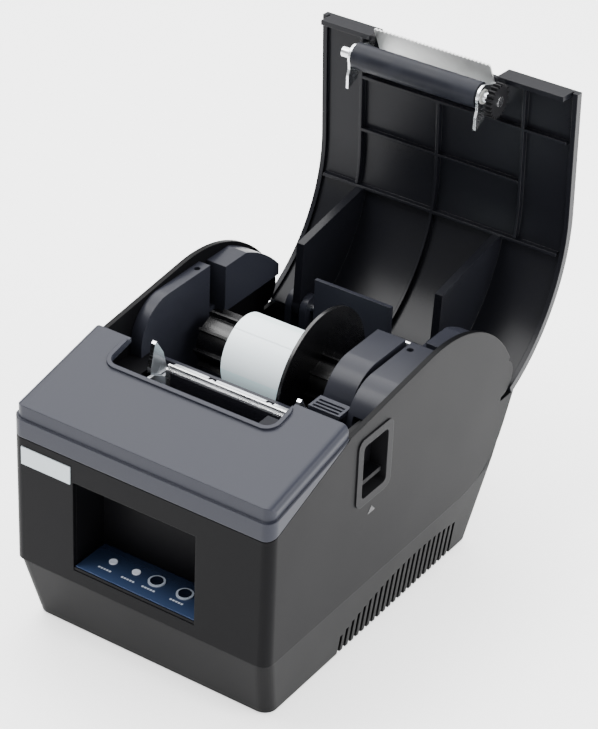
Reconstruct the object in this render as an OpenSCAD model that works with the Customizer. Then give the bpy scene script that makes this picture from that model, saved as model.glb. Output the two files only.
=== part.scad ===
// Desktop receipt printer with a clamshell lid, shown with its lid open.
// Each module is one physical piece. Y runs from the front face to the back,
// Z up from the table, and X across, positive on the open button's side.

/* [Case] */
// Width across the two side walls
body_w = 135; // [130:1:165]
// Depth from the front face to the back of the shoulder
body_d = 199; // [190:1:240]
// Height of the closed lid above the table
body_h = 133.2; // [125:0.1:165]
// Thickness of the case walls
wall = 2.5; // [2:0.1:3.2]
// Height of the parting line between the two case halves
base_h = 33.7; // [30:0.1:40]
// How far each side of the base leans in at the bottom
side_lean = 3.8; // [1:0.1:6]
// How far the front of the base leans in at the bottom
front_lean = 8.8; // [3:0.1:12]
// Radius of the upright corners
corner_r = 5; // [3:0.5:8]
// Open seam between mating mouldings
seam = 0.4; // [0.2:0.1:0.8]
// Height of the rubber feet
foot_h = 1.2; // [1:0.1:3]
// Height of the front wall under the cover
front_h = 98.5; // [94:0.1:104]

/* [Vents] */
// Number of slots in each side of the base
vent_count = 22; // [8:1:26]
// Distance between slots
vent_pitch = 4.4; // [4:0.1:5]
// Width of one slot
vent_w = 2.2; // [1.5:0.1:2.6]

/* [Lid] */
// Radius of the lid's rounded back
lid_r = 78; // [74:0.5:86]
// Slope of the lid's top in degrees
lid_slope = 7; // [4:0.5:9]
// Thickness of the lid skin
lid_skin = 2.4; // [2:0.1:3]
// Depth of the flange that lies along the side walls
flange_h = 4.1; // [3.5:0.1:4.5]
// Depth of the wall at the lid's free edge
free_wall_h = 11; // [8:0.5:13]
// Angle through which the lid opens
open_angle = 93.5; // [85:0.5:96]
// Thickness of each hinge arm
arm_t = 4; // [3:0.1:5]
// Radius of the hinge pin
pin_r = 2; // [1.6:0.1:2.5]
// Radial clearance of running fits
run_fit = 0.05; // [0.03:0.01:0.08]

/* [Print mechanism] */
// Middle of the paper path across the case
mech_x = -5; // [-8:0.5:0]
// Length of the platen's rubber sleeve
platen_len = 66; // [56:0.5:66]
// Radius of the rubber sleeve
platen_r = 6.2; // [5:0.1:6.6]
// Radius of the platen shaft
shaft_r = 2.5; // [2:0.1:3]
// Teeth on the platen gear
platen_teeth = 22; // [18:1:24]
// Tooth module of the drive gears
gear_module = 0.7; // [0.6:0.05:0.7]

/* [Paper] */
// Width of the paper roll
roll_w = 41; // [30:0.5:56]
// Outer radius of the paper roll
roll_r = 18.6; // [14:0.5:34]
// Outer radius of the core
core_r = 8; // [7.5:0.1:9]
// Radius of the roll guide discs
disc_r = 35.5; // [30:0.5:36]

/* [Hidden] */
$fn = 64;
over = 1;
half_w = body_w / 2;

// Hinge and arch: the lid's back is an arc, and the hinge lies just inside it.
hinge_back = 12;
hinge_y = body_d - hinge_back;
arch_to_hinge = 57.7;
arch_y = hinge_y - arch_to_hinge;
arch_z = body_h - lid_r;
hinge_rise = 27.8;
hinge_z = arch_z + hinge_rise;
wall_top_r = lid_r - flange_h - seam;
tab_r = 9.4;
tip_angle = 28.7;
shoulder_z = hinge_z - 11.5;
shoulder_drop = 15.5;
knee_back = 7.5;
base_back = 24;

// The cover's rear edge, where the lid's free edge begins.
lid_front_y = 57;
cover_rear_y = lid_front_y - seam;
cover_slope = 12.6;
cover_front_z = front_h + 15.8;
cover_groove = 6.5;
cover_t = 2.2;
notch_y = 39;
notch_half = 43;
notch_mid = mech_x + 1.6;
notch_lip = 2;

// Platen place with the lid closed.
platen_y = 65;
platen_z = arch_z + 51.3;
platen_mid = mech_x - 1;

// Paper roll place, below the arch.
roll_y = arch_y - 5.3;
roll_z = arch_z + 36.8;
disc_t = 1.6;
roll_left = mech_x - 28.2;
disc_gap = 0.3;

// Paper bin.
bin_left = mech_x - 53.5;
bin_right = mech_x + 36.5;
bin_floor_z = roll_z - 42;
bin_wall = 2;
bin_front_y = 88;
bin_rear_y = hinge_y - 19;
bin_out = half_w - wall - 0.2;
shelf_z = hinge_z - 22;
fender_top_z = arch_z + 69;
fender_front_y = 88;
fender_round = 20;
fender_rear_y = hinge_y - 55;
fender_skin = 2;
hump_r = lid_r - 6.4;
deck_top = 100;
deck_t = 2;

// Hinge arms, either side of the paper path.
arm_x = 38;
lug_t = 3.4;
arm_gap = 0.4;
knuckle_r = 6.5;

// Front recess and its control panel.
recess_x0 = -34.5;
recess_x1 = 30;
recess_z0 = 42.4;
recess_z1 = 87;
recess_depth = 22;
liner_t = 1.6;
overlay_t = 0.5;
panel_y = 12.6;
led_x = [-22.5, -10];
led_r = 1.9;
key_x = [1, 16];
key_r = 2.9;
key_fit = 0.1;
ring_r = 3.9;
ring_h = 0.6;

// Side button.
button_y0 = 66;
button_y1 = 88;
button_z0 = 82;
button_z1 = 112;
bezel_w = 2.6;
bezel_proud = 0.6;

// Badge.
badge_t = 0.4;
badge_x0 = -half_w + corner_r + 0.3;
badge_w = 26.5;
badge_h = 8.8;
badge_z = 85.6;

// The rest pose has the lid open, so the row is centred over its full depth.
open_arch_y = hinge_y - arch_to_hinge * cos(open_angle) - hinge_rise * sin(open_angle);
lid_max_y = open_arch_y + lid_r;
origin_y = (lid_max_y - badge_t) / 2;

module placed() {
    translate([0, -origin_y, 0]) children();
}

module on_open_lid() {
    placed() translate([0, hinge_y, hinge_z]) rotate([-open_angle, 0, 0])
        translate([0, -hinge_y, -hinge_z]) children();
}

// A side view outline (y, z) carried across from x0 to x1.
module across(x0, x1) {
    translate([x0, 0, 0]) rotate([90, 0, 90]) linear_extrude(x1 - x0) children();
}

// A front view outline (x, z) carried back from y0 to y1.
module along(y0, y1) {
    translate([0, y1, 0]) rotate([90, 0, 0]) linear_extrude(y1 - y0) children();
}

// A box between two opposite corners.
module block(low, high) {
    translate(low) cube(high - low);
}

// A rod along X.
module rod(x0, x1, y, z, r) {
    translate([x0, y, z]) rotate([0, 90, 0]) cylinder(h = x1 - x0, r = r);
}

module rounded_rect(x0, y0, x1, y1, r) {
    translate([x0 + r, y0]) square([x1 - x0 - 2 * r, y1 - y0]);
    translate([x0, y0 + r]) square([x1 - x0, y1 - y0 - 2 * r]);
    for (x = [x0 + r, x1 - r], y = [y0 + r, y1 - r]) translate([x, y]) circle(r);
}

module plan_prism(inset, z0, z1) {
    translate([0, 0, z0]) linear_extrude(z1 - z0)
        rounded_rect(-half_w + inset, inset, half_w - inset, body_d + 20, corner_r - inset * 0.5);
}

// Height of the straight top that runs tangent into an arc of radius r.
function top_z(r, y) = arch_z + r / cos(lid_slope) - (arch_y - y) * tan(lid_slope);

// Everything under the arc of radius r and its straight front top, from y0 back.
module arch(r, y0) {
    translate([arch_y, arch_z]) circle(r, $fn = 128);
    polygon([
        [y0, 0], [y0, top_z(r, y0)],
        [arch_y - r * sin(lid_slope), arch_z + r * cos(lid_slope)],
        [arch_y, arch_z], [arch_y, 0]
    ]);
}

// Side view of what lies under the parting line, which curves up at the back.
part_arc_r = 38.5;
part_arc_y = body_d - 42.4;
module below_parting(lift) {
    translate([-over, -over]) square([part_arc_y + 2 * over, base_h + lift + over]);
    difference() {
        translate([part_arc_y, -over]) square([60, shoulder_z - shoulder_drop + over + lift]);
        translate([part_arc_y, base_h + lift + part_arc_r]) circle(part_arc_r, $fn = 128);
    }
}

back_low_y = body_d - base_back;
knee_y = body_d - knee_back;
knee_z = shoulder_z - shoulder_drop;

// Outline of one level of the leaning base.
module base_level(z, inset) {
    t = (z - foot_h) / (base_h - foot_h);
    back_y = back_low_y + (knee_y - back_low_y) * (z - foot_h) / (knee_z - foot_h);
    x = half_w - 0.5 - side_lean * (1 - t) - inset;
    front_y = 0.5 + front_lean * (1 - t) + inset;
    translate([0, 0, z]) linear_extrude(0.01)
        rounded_rect(-x, front_y, x, back_y - inset, corner_r + 1 - inset, $fn = 32);
}

module base_block(inset, z0) {
    intersection() {
        hull() {
            base_level(z0, inset);
            base_level(knee_z, inset);
        }
        across(-half_w, half_w) below_parting(0);
        plan_prism(inset, 0, body_h);
    }
}

foot_r = 6.5;
foot_x = half_w - 17;
foot_y = [26, body_d - 43];
screw_x = half_w - 12;
screw_y = [40, body_d - 60];
boss_r = 4;
screw_r = 1.5;
vent_y0 = 62.5;

module rubber_feet() {
    color("#1b1b1d") placed() for (x = [-foot_x, foot_x], y = foot_y)
        translate([x, y, 0]) difference() {
            cylinder(h = foot_h, r = foot_r);
            translate([0, 0, -over]) cylinder(h = 0.8 + over, r = 2.5);
        }
}

// Height of the top of vent slot i: a low arch, tallest towards the back.
function vent_top(i) = 9 + 14 * (1 - pow((i - 0.62 * vent_count) / (0.68 * vent_count), 2));

module side_vents() {
    for (side = [-1, 1], i = [0:vent_count - 1]) {
        y = vent_y0 + i * vent_pitch;
        x = side * (half_w - wall / 2 - side_lean / 2);
        block([x - 4, y, foot_h - over], [x + 4, y + vent_w, vent_top(i)]);
    }
}

// Opening in the back of the base for the connectors.
ports_x = 44;
ports_z0 = 6;
ports_z1 = 29;
ports_y = back_low_y - 9;
board_z = 9;
board_t = 1.6;
board_x = 50;
board_y0 = 60;
board_y1 = ports_y - 3;
board_post = [[-44, 68], [44, 68], [-44, ports_y - 20], [44, ports_y - 20]];

module bottom_case() {
    color("#2f2f33") placed() difference() {
        union() {
            difference() {
                base_block(0, foot_h);
                base_block(wall, foot_h + wall);
            }
            for (x = [-screw_x, screw_x], y = screw_y)
                translate([x, y, foot_h]) cylinder(h = base_h - foot_h - 2, r = boss_r);
            for (p = board_post) translate([p[0], p[1], foot_h])
                cylinder(h = board_z - foot_h, r = 3);
            block([-ports_x - wall, ports_y, foot_h], [ports_x + wall, back_low_y - 2, ports_z1 + wall]);
        }
        block([-ports_x, ports_y - over, ports_z0], [ports_x, body_d, ports_z1]);
        for (x = [-screw_x, screw_x], y = screw_y) {
            translate([x, y, foot_h - over]) cylinder(h = base_h, r = screw_r + 0.2);
            translate([x, y, foot_h - over]) cylinder(h = 3 + over, r = 3.2);
        }
        for (p = board_post) translate([p[0], p[1], board_z - 5]) cylinder(h = 6, r = 1);
        side_vents();
    }
}

module case_screws() {
    color("#8d9095") placed() for (x = [-screw_x, screw_x], y = screw_y)
        translate([x, y, 0]) {
            difference() {
                translate([0, 0, foot_h + 1]) cylinder(h = 2, r = 3);
                translate([0, 0, foot_h]) cylinder(h = 2, r = 1.4, $fn = 6);
            }
            translate([0, 0, foot_h + 3]) cylinder(h = base_h + 6 - foot_h - 3, r = screw_r);
        }
}

module main_board() {
    color("#1f5b3a") placed() difference() {
        union() {
            block([-board_x, board_y0, board_z], [board_x, board_y1, board_z + board_t]);
            block([-22, 92, board_z + board_t], [-6, 108, board_z + board_t + 1.4]);
            block([12, 84, board_z + board_t], [26, 94, board_z + board_t + 1.2]);
            block([mech_x - 17, 62, board_z + board_t], [mech_x + 13, 67, board_z + board_t + 6]);
            for (x = [16, 30], y = [112, 128]) translate([x, y, board_z + board_t])
                cylinder(h = 11, r = 4);
        }
        for (p = board_post) translate([p[0], p[1], board_z - over]) cylinder(h = 4, r = 1.6);
    }
}

module board_screws() {
    color("#c9ccd1") placed() for (p = board_post) translate([p[0], p[1], 0]) {
        translate([0, 0, board_z + board_t]) cylinder(h = 1.2, r = 2.4);
        translate([0, 0, board_z - 4]) cylinder(h = board_t + 4, r = 0.95);
    }
}

// Connectors: each has a rectangular body on the board and a mouth to the back.
port_base = board_z + board_t;
jack_x = -32;
usb_x = -8;
drawer_x = 14;
switch_x = 34;
port_plate_t = 1;

module connector_plate() {
    color("#a9adb3") placed() difference() {
        block([-ports_x + 0.2, ports_y - port_plate_t, ports_z0 + 0.2],
            [ports_x - 0.2, ports_y, ports_z1 - 0.2]);
        block([jack_x - 5.2, 0, port_base - 0.2], [jack_x + 5.2, body_d, port_base + 11.2]);
        block([usb_x - 6.3, 0, port_base - 0.2], [usb_x + 6.3, body_d, port_base + 11.2]);
        block([drawer_x - 7.2, 0, port_base - 0.2], [drawer_x + 7.2, body_d, port_base + 12.2]);
        block([switch_x - 7.2, 0, port_base - 0.2], [switch_x + 7.2, body_d, port_base + 14.2]);
    }
}

module power_jack() {
    color("#17171a") placed() difference() {
        block([jack_x - 5, ports_y - 13, port_base], [jack_x + 5, ports_y + 1, port_base + 11]);
        translate([jack_x, ports_y + 1 + over, port_base + 5.5]) rotate([90, 0, 0])
            cylinder(h = 10 + over, r = 2.9);
    }
    color("#c9ccd1") placed() translate([jack_x, ports_y - 9, port_base + 5.5])
        rotate([-90, 0, 0]) cylinder(h = 9, r = 1);
}

module usb_socket() {
    color("#c4c7cc") placed() difference() {
        block([usb_x - 6, ports_y - 15, port_base], [usb_x + 6, ports_y + 1.5, port_base + 11]);
        difference() {
            block([usb_x - 4.4, ports_y - 9, port_base + 1.4], [usb_x + 4.4, body_d, port_base + 9.4]);
            block([usb_x - 2.8, 0, port_base + 3.6], [usb_x + 2.8, ports_y + 0.6, port_base + 7]);
        }
    }
}

module drawer_socket() {
    color("#26272b") placed() difference() {
        block([drawer_x - 7, ports_y - 13, port_base], [drawer_x + 7, ports_y + 1, port_base + 12]);
        block([drawer_x - 5, ports_y - 9, port_base + 3], [drawer_x + 5, body_d, port_base + 10]);
        block([drawer_x - 2, ports_y - 9, port_base + 1.4], [drawer_x + 2, body_d, port_base + 4]);
    }
}

// Power switch: a rocker between the cheeks of its case, on a cross pin of its own.
rocker_z = port_base + 6.5;
rocker_y = ports_y - 3.5;
rocker_r = 5;
rocker_tilt = 10;

module switch_case() {
    color("#141416") placed() difference() {
        block([switch_x - 7, ports_y - 14, port_base], [switch_x + 7, ports_y + 1, port_base + 14]);
        block([switch_x - 4.6, ports_y - 11, port_base + 0.8], [switch_x + 4.6, body_d, port_base + 12.6]);
        rod(switch_x - 6, switch_x + 6, rocker_y, rocker_z, 1 + run_fit);
    }
}

module power_rocker() {
    color("#b3261e") placed() {
        across(switch_x - 4.2, switch_x + 4.2) translate([rocker_y, rocker_z]) {
            circle(rocker_r);
            rotate(rocker_tilt) translate([0, -4]) square([5.4, 8]);
        }
        rod(switch_x - 5.8, switch_x + 5.8, rocker_y, rocker_z, 1);
    }
}

// Side view of the upper case, from the parting line to the top of its walls.
module upper_side() {
    steep = 60;
    reach = 90;
    difference() {
        union() {
            intersection() {
                arch(wall_top_r, 0);
                polygon([
                    [0, 0], [0, front_h], [cover_rear_y, top_z(wall_top_r, cover_rear_y) - 0.5],
                    [cover_rear_y, body_h + 50],
                    [hinge_y + reach * cos(steep), hinge_z + reach * sin(steep)],
                    [hinge_y, hinge_z], [hinge_y, shoulder_z], [body_d, shoulder_z],
                    [knee_y, knee_z], [back_low_y, foot_h]
                ]);
            }
            translate([hinge_y, hinge_z]) circle(tab_r);
        }
        below_parting(seam);
    }
}

module upper_inside() {
    polygon([
        [wall, -over], [wall, body_h + 50], [body_d + 60, body_h + 50],
        [body_d + 60, shoulder_z], [body_d - wall - 0.4, shoulder_z],
        [knee_y - wall, knee_z], [back_low_y - wall, foot_h]
    ]);
}

module button_window(grow, x0, x1) {
    across(x0, x1) rounded_rect(button_y0 - grow, button_z0 - grow,
        button_y1 + grow, button_z1 + grow, 3 + grow / 2);
}

boss_top = base_h + 13;
module upper_case() {
    color("#37373b") placed() difference() {
        union() {
            difference() {
                intersection() {
                    across(-half_w, half_w) upper_side();
                    plan_prism(0, 0, body_h + 20);
                }
                intersection() {
                    across(-half_w, half_w) upper_inside();
                    plan_prism(wall, -over, body_h + 60);
                }
            }
            for (x = [-screw_x, screw_x], y = screw_y) {
                translate([x, y, base_h + seam]) cylinder(h = boss_top - base_h, r = boss_r);
                side = x > 0 ? 1 : -1;
                block([min(x, side * (half_w - 1)), y - 1, base_h + seam],
                    [max(x, side * (half_w - 1)), y + 1, boss_top]);
            }
        }
        for (x = [-screw_x, screw_x], y = screw_y)
            translate([x, y, base_h - over]) cylinder(h = 10, r = screw_r + 0.02);
        block([recess_x0, -over, recess_z0 - liner_t], [recess_x1, wall + over, recess_z1]);
        button_window(0, half_w - wall - over, half_w + over);
        block([badge_x0 - 0.1, -over, badge_z - 0.1],
            [badge_x0 + badge_w + 0.1, 0.5, badge_z + badge_h + 0.1]);
    }
}

module badge_plate() {
    color("#eef2f4") placed()
        block([badge_x0, -badge_t, badge_z], [badge_x0 + badge_w, 0.5, badge_z + badge_h]);
}

module panel_housing() {
    color("#1c1c20") placed() difference() {
        block([recess_x0 - liner_t, wall, recess_z0 - liner_t],
            [recess_x1 + liner_t, recess_depth + liner_t, recess_z1 + liner_t]);
        block([recess_x0, wall - over, recess_z0], [recess_x1, recess_depth, recess_z1]);
        for (x = led_x) translate([x, panel_y, 0]) cylinder(h = body_h, r = led_r + key_fit);
        for (x = key_x) translate([x, panel_y, 0]) cylinder(h = body_h, r = key_r + key_fit);
    }
    color("#1c1c20") placed() block([recess_x0 + 0.1, 0.3, recess_z0 - liner_t + 0.1],
        [recess_x1 - 0.1, wall, recess_z0]);
}

module panel_overlay() {
    color("#1d2a44") placed() difference() {
        block([recess_x0 + 0.6, 0.8, recess_z0],
            [recess_x1 - 0.6, recess_depth - 0.4, recess_z0 + overlay_t]);
        for (x = led_x) translate([x, panel_y, 0]) cylinder(h = body_h, r = led_r + key_fit);
        for (x = key_x) translate([x, panel_y, 0]) cylinder(h = body_h, r = key_r + key_fit);
    }
}

module button_rings() {
    color("#aeb6c4") placed() for (x = key_x) translate([x, panel_y, recess_z0 + overlay_t])
        difference() {
            cylinder(h = ring_h, r = ring_r);
            translate([0, 0, -over]) cylinder(h = 4, r = key_r + key_fit);
        }
}

key_top = recess_z0 + overlay_t + 0.9;
tact_z = recess_z0 - 7;
module key(x) {
    translate([x, panel_y, 0]) {
        difference() {
            translate([0, 0, recess_z0 - liner_t - 1.4])
                cylinder(h = key_top - recess_z0 + liner_t + 1.4, r = key_r);
            translate([0, 0, key_top + 5.4]) sphere(r = 6);
        }
        translate([0, 0, recess_z0 - liner_t - 2.4]) cylinder(h = 1.4, r = key_r + 1);
        translate([0, 0, tact_z + 2.6]) cylinder(h = 2.6, r = 1.2);
    }
}

module pause_button() {
    color("#3c4452") placed() key(key_x[0]);
}

module feed_button() {
    color("#3c4452") placed() key(key_x[1]);
}

module led_lenses() {
    color("#dfe7f2") placed() for (x = led_x) translate([x, panel_y, 0]) {
        difference() {
            translate([0, 0, tact_z]) cylinder(h = recess_z0 + overlay_t + 0.5 - tact_z, r = led_r);
            translate([0, 0, recess_z0 + overlay_t + 0.5 + 4]) sphere(r = 4.2);
        }
    }
}

module panel_board() {
    color("#1f5b3a") placed() {
        block([recess_x0 + 2, 4, tact_z - 2.4], [recess_x1 - 2, recess_depth - 2, tact_z - 0.8]);
        for (x = key_x) block([x - 3, panel_y - 3, tact_z - 0.8], [x + 3, panel_y + 3, tact_z + 1.7]);
        for (x = led_x) block([x - 1.5, panel_y - 1.5, tact_z - 0.8], [x + 1.5, panel_y + 1.5, tact_z]);
        for (x = [recess_x0 + 6, recess_x1 - 6]) translate([x, 8, tact_z - 0.8])
            cylinder(h = recess_z0 - liner_t - tact_z + 0.8, r = 2);
    }
}

module open_bezel() {
    color("#2b2b2f") placed() difference() {
        union() {
            button_window(bezel_w, half_w, half_w + bezel_proud);
            button_window(-0.1, half_w - wall - 9, half_w + 0.1);
        }
        button_window(-1.4, half_w - wall - 7.6, half_w + bezel_proud + over);
        block([half_w - wall - 12, button_y0 + 5, button_z0 + 3.5],
            [half_w - wall - 6, button_y1 - 5, button_z1 - 4]);
    }
}

// The finger plate, its ridge, and a tail that reaches in under the latch lever.
tail_top = button_z0 + 9;
button_x0 = half_w - wall - 7.2;
module open_button() {
    color("#202024") placed() {
        block([button_x0, button_y0 + 2, button_z0 + 3], [button_x0 + 2, button_y1 - 2, button_z1 - 6.5]);
        block([button_x0 + 2, button_y0 + 3.4, button_z0 + 7],
            [button_x0 + 8.6, button_y1 - 3.4, button_z0 + 9.2]);
        block([button_x0 - 5.5, button_y0 + 7, tail_top - 3], [button_x0, button_y0 + 14, tail_top]);
        block([button_x0 - 5.5, lever_y - 2, tail_top - 3], [button_x0 - 3, button_y0 + 14, tail_top]);
        block([button_x0 - 9, lever_y - 2, tail_top - 3], [button_x0 - 5, lever_y + 1.6, tail_top]);
    }
}

// Screwed legs hold the cover to the low front part of the inner deck.
deck_low = deck_top - 10.4;
cover_leg_x = half_w - 12;
cover_leg_y = 14;

// The cover: a band below, a slightly smaller cap above, and a U-shaped notch.
module tilted_slab(x, z_front, drop, round_r) {
    translate([0, 0, z_front]) rotate([cover_slope, 0, 0]) along(-30, 90)
        intersection() {
            rounded_rect(-x, -60, x, -drop, round_r);
            translate([-half_w - 10, -60]) square([body_w + 20, 60]);
        }
}

module cover_solid(inset) {
    low = inset > 0 ? 20 : -seam;
    back = cover_rear_y + (inset > 0 ? over : 0);
    intersection() {
        across(-half_w, half_w) polygon([
            [inset, front_h - low], [inset, body_h + 20], [back, body_h + 20],
            [back, top_z(wall_top_r, cover_rear_y) - 0.5 - low]
        ]);
        union() {
            intersection() {
                tilted_slab(half_w - inset, cover_front_z, cover_groove + inset, 0.6);
                plan_prism(inset, 0, body_h + 40);
            }
            intersection() {
                tilted_slab(half_w - inset - 1, cover_front_z, inset, 3.4);
                plan_prism(inset + 1, 0, body_h + 40);
            }
        }
    }
}

module notch_outline(grow, y1) {
    rounded_rect(notch_mid - notch_half - grow, notch_y - grow, notch_mid + notch_half + grow, y1, 5 + grow);
}

module front_cover() {
    color("#6c6e78") placed() {
        difference() {
            union() {
                difference() {
                    cover_solid(0);
                    cover_solid(cover_t);
                }
                intersection() {
                    tilted_slab(half_w, cover_front_z + 1, 0, 0.6);
                    translate([0, 0, cover_front_z - 8]) linear_extrude(40)
                        notch_outline(notch_lip, cover_rear_y);
                    translate([0, 0, cover_front_z - 2]) rotate([cover_slope, 0, 0])
                        block([-half_w, 0, 0], [half_w, body_d, 20]);
                }
            }
            translate([0, 0, cover_front_z - 20]) linear_extrude(60) notch_outline(0, body_d);
        }
        for (x = [-cover_leg_x, cover_leg_x]) translate([x, cover_leg_y, deck_low + deck_t])
            difference() {
                cylinder(h = cover_front_z - deck_low - deck_t, r = 3.5);
                translate([0, 0, -over]) cylinder(h = 10, r = 1.3);
            }
    }
}

module cover_screws() {
    color("#8d9095") placed() for (x = [-cover_leg_x, cover_leg_x])
        translate([x, cover_leg_y, deck_low - 1.6]) {
            cylinder(h = 1.6, r = 2.6);
            translate([0, 0, 1.6]) cylinder(h = 9, r = 1.25);
        }
}

// Inner deck: a stepped shelf under the cover that the mechanism rests on.
deck_gap = 0.3;
module inner_deck() {
    x = half_w - wall - deck_gap;
    color("#222226") placed() difference() {
        intersection() {
            plan_prism(wall + deck_gap, 0, body_h);
            union() {
                block([-x, wall + deck_gap, deck_low], [x, 30, deck_low + deck_t]);
                block([-x, 28, deck_low], [x, 30, deck_top]);
                block([-x, 28, deck_top - deck_t], [x, bin_front_y - bin_wall - deck_gap, deck_top]);
            }
        }
        block([mech_x - 46, 44, 0], [mech_x + 46, body_d, body_h]);
        block([half_w - wall - 18, button_y0 - 3, 0], [half_w, button_y1 + 3, body_h]);
        block([recess_x0 - liner_t - deck_gap, 0, 0],
            [recess_x1 + liner_t + deck_gap, recess_depth + liner_t + deck_gap, deck_top - deck_t]);
        for (cx = [-cover_leg_x, cover_leg_x]) translate([cx, cover_leg_y, 0]) cylinder(h = body_h, r = 1.5);
    }
}

// Slatted cover behind the gear train, on a wall that stands on the deck.
module gear_cover() {
    y0 = platen_y + 11;
    y1 = bin_front_y - bin_wall - 0.4;
    top = deck_top + 14;
    color("#3a3b42") placed() difference() {
        union() {
            block([gear_x, y0, top - 2], [gear_x + 16, y1, top]);
            block([gear_x + 10, y0, deck_top], [gear_x + 12, y1, top]);
        }
        for (y = [y0 + 1:2.4:y1 - 1.6])
            block([gear_x + 1.4, y, top - 3], [gear_x + 14.6, y + 1.3, top + over]);
    }
}

// Side view of a side block: upright, with a rounded front top corner.
module fender_outline(front, inset) {
    y0 = front + inset;
    y1 = fender_rear_y - inset;
    top = fender_top_z - inset;
    low = deck_top - inset;
    intersection() {
        translate([y0, low]) square([y1 - y0, top - low]);
        union() {
            translate([y0 + fender_round, top - fender_round]) circle(fender_round, $fn = 96);
            translate([y0, low]) square([y1 - y0, top - fender_round - low]);
            translate([y0 + fender_round, low]) square([y1 - y0, top - low]);
        }
    }
}

module fender(x0, x1, front) {
    difference() {
        across(x0, x1) fender_outline(front, 0);
        across(x0 + fender_skin, x1 - fender_skin) fender_outline(front, fender_skin);
    }
}

// Rear block under the arch, beside each hinge arm.
module hump(x0, x1) {
    across(x0, x1) intersection() {
        arch(hump_r, 0);
        translate([hinge_y - 49, deck_top - deck_t]) square([44, fender_top_z - deck_top]);
    }
}

module hinge_lugs() {
    near = arm_x - arm_t / 2 - arm_gap - lug_t;
    far = arm_x + arm_t / 2 + arm_gap;
    for (s = [-1, 1], d = [near, far]) {
        x0 = s > 0 ? mech_x + d : mech_x - d - lug_t;
        across(x0, x0 + lug_t) {
            translate([hinge_y, hinge_z]) circle(knuckle_r);
            translate([hinge_y - knuckle_r, shelf_z - 1]) square([knuckle_r + 1.5, hinge_z - shelf_z + 1]);
        }
    }
}

// Paper bin: a tub with a high front and sides, the side blocks and the hinge shelf.
slit_x = bin_right + 15.5;
shelf_right = mech_x + arm_x + 12;
rear_wall_y = hinge_y - 12;
module paper_bin() {
    color("#1a1a1d") placed() difference() {
        union() {
            block([bin_left - bin_wall, bin_front_y - bin_wall, bin_floor_z - bin_wall],
                [bin_right + bin_wall, bin_rear_y + bin_wall, bin_floor_z]);
            block([bin_left - bin_wall, bin_front_y - bin_wall, bin_floor_z - bin_wall],
                [bin_right + bin_wall, bin_front_y, deck_top]);
            for (x = [bin_left - bin_wall, bin_right]) {
                block([x, bin_front_y - bin_wall, bin_floor_z - bin_wall],
                    [x + bin_wall, fender_rear_y, deck_top + 2]);
                block([x, bin_front_y - bin_wall, bin_floor_z - bin_wall],
                    [x + bin_wall, bin_rear_y + bin_wall, shelf_z + 9]);
            }
            block([bin_left - bin_wall, bin_rear_y, bin_floor_z - bin_wall],
                [bin_right + bin_wall, bin_rear_y + bin_wall, shelf_z]);
            block([bin_left - bin_wall, bin_rear_y, shelf_z - bin_wall],
                [shelf_right, knee_y - wall - 0.3, shelf_z]);
            block([mech_x - 24, rear_wall_y, shelf_z - bin_wall],
                [mech_x + 18, rear_wall_y + bin_wall, arch_z + 52]);
            block([-bin_out, bin_front_y, deck_top - deck_t], [bin_left - over, hinge_y - 5, deck_top]);
            across(-bin_out, bin_left) fender_outline(bin_front_y - 8, 0);
            hump(-bin_out, -half_w + 13.5);
            fender(bin_right + 1, slit_x, fender_front_y);
            fender(slit_x + 3, bin_out, fender_front_y - 8);
            block([slit_x - over, fender_front_y + 4, deck_top], [slit_x + 4, fender_rear_y, deck_top + 12]);
            block([bin_right + 4.5, fender_rear_y - over, deck_top - deck_t],
                [bin_out, hinge_y - 5, deck_top]);
            hump(half_w - 13.5, bin_out);
            hinge_lugs();
        }
        rod(-half_w, half_w, hinge_y, hinge_z, pin_r + 0.02);
        for (x = [bin_left - 3.2, slit_x + 6]) translate([x, fender_rear_y - 6, fender_top_z - 6])
            cylinder(h = 7, r = 1.6);
        rod(bin_right - over, slit_x, roll_y, roll_z, hub_r + 1);
        block([half_w - wall - 12, 0, 0], [half_w, button_y1 + 3, button_z1 + 0.6]);
        for (s = [-1, 1]) block([mech_x + s * 8 - 1.6, fender_front_y + 10, bin_floor_z - 3],
            [mech_x + s * 8 + 1.6, fender_front_y + 12, bin_floor_z + 1]);
    }
}

// Paper guide: a slope from the cover's notch into the trough under the platen.
trough_r = platen_r + 1.2;
landing_rear_y = platen_y - 9.4;
module trough_side(bottom_z) {
    difference() {
        polygon([
            [44.3, bottom_z], [44.3, platen_z + 6.2], [platen_y - trough_r - 0.8, platen_z + 0.4],
            [platen_y - trough_r, platen_z - 1], [platen_y + 1, platen_z - 1], [platen_y + 1, bottom_z]
        ]);
        translate([platen_y, platen_z]) circle(trough_r);
    }
}

module paper_guide() {
    color("#4a4b52") placed() {
        across(plate_left + plate_t + 0.2, plate_right - 0.2) trough_side(deck_top - 4);
        across(notch_mid - notch_half + 0.4, plate_left - 0.2) trough_side(deck_top + 1.5);
        across(notch_mid - notch_half + 0.4, notch_mid + notch_half - 0.4) polygon([
            [notch_y + 1, deck_top], [notch_y + 1, platen_z + 8.6], [notch_y + 3, platen_z + 8.6],
            [50, platen_z + 3.3], [52, platen_z + 2], [52, deck_top]
        ]);
        block([notch_mid + 30.2, notch_y + 1.5, deck_top], [notch_mid + notch_half - 0.4, 51.5, platen_z + 10]);
        block([notch_mid + 30.2, 51, platen_z - 2.4],
            [notch_mid + notch_half - 0.4, landing_rear_y, platen_z + 10]);
    }
}

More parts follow.
